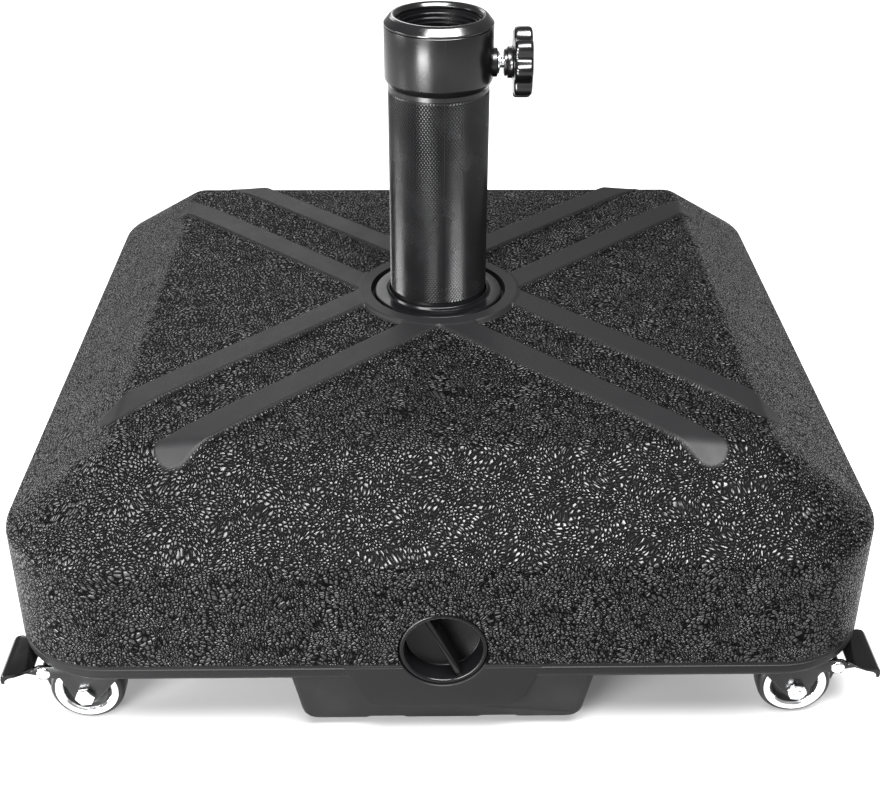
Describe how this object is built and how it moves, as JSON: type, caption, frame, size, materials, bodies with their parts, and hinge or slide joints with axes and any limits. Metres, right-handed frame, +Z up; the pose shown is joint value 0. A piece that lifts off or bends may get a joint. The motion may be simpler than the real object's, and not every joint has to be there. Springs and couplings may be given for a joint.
{
  "type": "parasol base",
  "caption": "Square fillable parasol base on braked swivel casters, with a knurled pole tube, lobed clamp knob and screw-in fill plug.",
  "frame": {"origin": "on the floor under the wheels, on the axis of the pole tube", "axes": "+Z up along the pole tube; -Y towards the fill plug; +X towards the clamp knob"},
  "size_m": [0.574, 0.56, 0.401],
  "materials": {
    "tank": "black blow-moulded polyethylene with pebble grain",
    "tube": "black moulded plastic, diamond knurl, satin collar",
    "ring": "satin black",
    "bush": "satin dark grey",
    "gloss_black": "glossy black",
    "knob": "glossy black",
    "plug": "glossy black",
    "pad": "matt",
    "rubber": "matt",
    "tyre": "smooth black tread",
    "zinc": "bright zinc plate",
    "ball_steel": "polished",
    "brass": "turned",
    "black_steel": "black painted pressed steel",
    "rim": "bright plated rim",
    "pedal": "glossy black"
  },
  "bodies": {
    "base": {"tank_shell": "tank", "foot_disc": "gloss_black", "pole_tube": "tube", "top_ring": "ring", "mouth_bush": "bush", "knob_insert": "zinc", "front_left_stem": "zinc", "front_left_stem_insert": "brass", "front_left_race_cup": "black_steel", "front_right_stem": "zinc", "front_right_stem_insert": "brass", "front_right_race_cup": "black_steel", "rear_left_stem": "zinc", "rear_left_stem_insert": "brass", "rear_left_race_cup": "black_steel", "rear_right_stem": "zinc", "rear_right_stem_insert": "brass", "rear_right_race_cup": "black_steel"},
    "pad": {"clamp_pad": "pad"},
    "knob": {"clamp_screw": "zinc", "knob_grip": "knob"},
    "gasket": {"plug_gasket": "rubber"},
    "plug": {"fill_plug": "plug"},
    "front_left_caster": {"front_left_fork": "black_steel", "front_left_bearing_balls": "ball_steel", "front_left_axle_bolt": "zinc", "front_left_axle_nut": "zinc", "front_left_brake_rivet": "zinc"},
    "front_left_wheel": {"front_left_tyre": "tyre", "front_left_hub": "rim"},
    "front_left_pedal": {"front_left_brake_pedal": "pedal"},
    "front_right_caster": {"front_right_fork": "black_steel", "front_right_bearing_balls": "ball_steel", "front_right_axle_bolt": "zinc", "front_right_axle_nut": "zinc", "front_right_brake_rivet": "zinc"},
    "front_right_wheel": {"front_right_tyre": "tyre", "front_right_hub": "rim"},
    "front_right_pedal": {"front_right_brake_pedal": "pedal"},
    "rear_left_caster": {"rear_left_fork": "black_steel", "rear_left_bearing_balls": "ball_steel", "rear_left_axle_bolt": "zinc", "rear_left_axle_nut": "zinc", "rear_left_brake_rivet": "zinc"},
    "rear_left_wheel": {"rear_left_tyre": "tyre", "rear_left_hub": "rim"},
    "rear_left_pedal": {"rear_left_brake_pedal": "pedal"},
    "rear_right_caster": {"rear_right_fork": "black_steel", "rear_right_bearing_balls": "ball_steel", "rear_right_axle_bolt": "zinc", "rear_right_axle_nut": "zinc", "rear_right_brake_rivet": "zinc"},
    "rear_right_wheel": {"rear_right_tyre": "tyre", "rear_right_hub": "rim"},
    "rear_right_pedal": {"rear_right_brake_pedal": "pedal"}
  },
  "joints": [
    {"name": "clamp_travel", "type": "slide", "parent": "base", "child": "pad", "axis": [1, 0, 0], "range_m": [-0.0024, 0.0013]},
    {"name": "knob_turn", "type": "hinge", "parent": "pad", "child": "knob", "pos_m": [0.055, 0, 0.367], "axis": [1, 0, 0], "range_deg": [-660, 360]},
    {"name": "plug_travel", "type": "slide", "parent": "base", "child": "gasket", "axis": [0, -1, 0], "range_m": [0, 0.0245]},
    {"name": "plug_turn", "type": "hinge", "parent": "gasket", "child": "plug", "pos_m": [0, -0.268, 0.074], "axis": [0, -1, 0], "range_deg": [0, 2160]},
    {"name": "front_left_swivel", "type": "hinge", "parent": "base", "child": "front_left_caster", "pos_m": [-0.217, -0.25, 0.055], "axis": [0, 0, 1], "continuous": true},
    {"name": "front_left_roll", "type": "hinge", "parent": "front_left_caster", "child": "front_left_wheel", "pos_m": [-0.235, -0.25, 0.0245], "axis": [0, 1, 0], "continuous": true},
    {"name": "front_left_brake", "type": "hinge", "parent": "front_left_caster", "child": "front_left_pedal", "pos_m": [-0.26, -0.25, 0.0435], "axis": [0, -1, 0], "range_deg": [0, 10]},
    {"name": "front_right_swivel", "type": "hinge", "parent": "base", "child": "front_right_caster", "pos_m": [0.217, -0.25, 0.055], "axis": [0, 0, 1], "continuous": true},
    {"name": "front_right_roll", "type": "hinge", "parent": "front_right_caster", "child": "front_right_wheel", "pos_m": [0.235, -0.25, 0.0245], "axis": [0, 1, 0], "continuous": true},
    {"name": "front_right_brake", "type": "hinge", "parent": "front_right_caster", "child": "front_right_pedal", "pos_m": [0.26, -0.25, 0.0435], "axis": [0, 1, 0], "range_deg": [0, 10]},
    {"name": "rear_left_swivel", "type": "hinge", "parent": "base", "child": "rear_left_caster", "pos_m": [-0.217, 0.25, 0.055], "axis": [0, 0, 1], "continuous": true},
    {"name": "rear_left_roll", "type": "hinge", "parent": "rear_left_caster", "child": "rear_left_wheel", "pos_m": [-0.235, 0.25, 0.0245], "axis": [0, 1, 0], "continuous": true},
    {"name": "rear_left_brake", "type": "hinge", "parent": "rear_left_caster", "child": "rear_left_pedal", "pos_m": [-0.26, 0.25, 0.0435], "axis": [0, -1, 0], "range_deg": [0, 10]},
    {"name": "rear_right_swivel", "type": "hinge", "parent": "base", "child": "rear_right_caster", "pos_m": [0.217, 0.25, 0.055], "axis": [0, 0, 1], "continuous": true},
    {"name": "rear_right_roll", "type": "hinge", "parent": "rear_right_caster", "child": "rear_right_wheel", "pos_m": [0.235, 0.25, 0.0245], "axis": [0, 1, 0], "continuous": true},
    {"name": "rear_right_brake", "type": "hinge", "parent": "rear_right_caster", "child": "rear_right_pedal", "pos_m": [0.26, 0.25, 0.0435], "axis": [0, 1, 0], "range_deg": [0, 10]}
  ],
  "couplings": [
    {"joint": "clamp_travel", "follows": "knob_turn", "m_per_rad": 0.00019894},
    {"joint": "plug_travel", "follows": "plug_turn", "m_per_rad": 0.00063662}
  ]
}
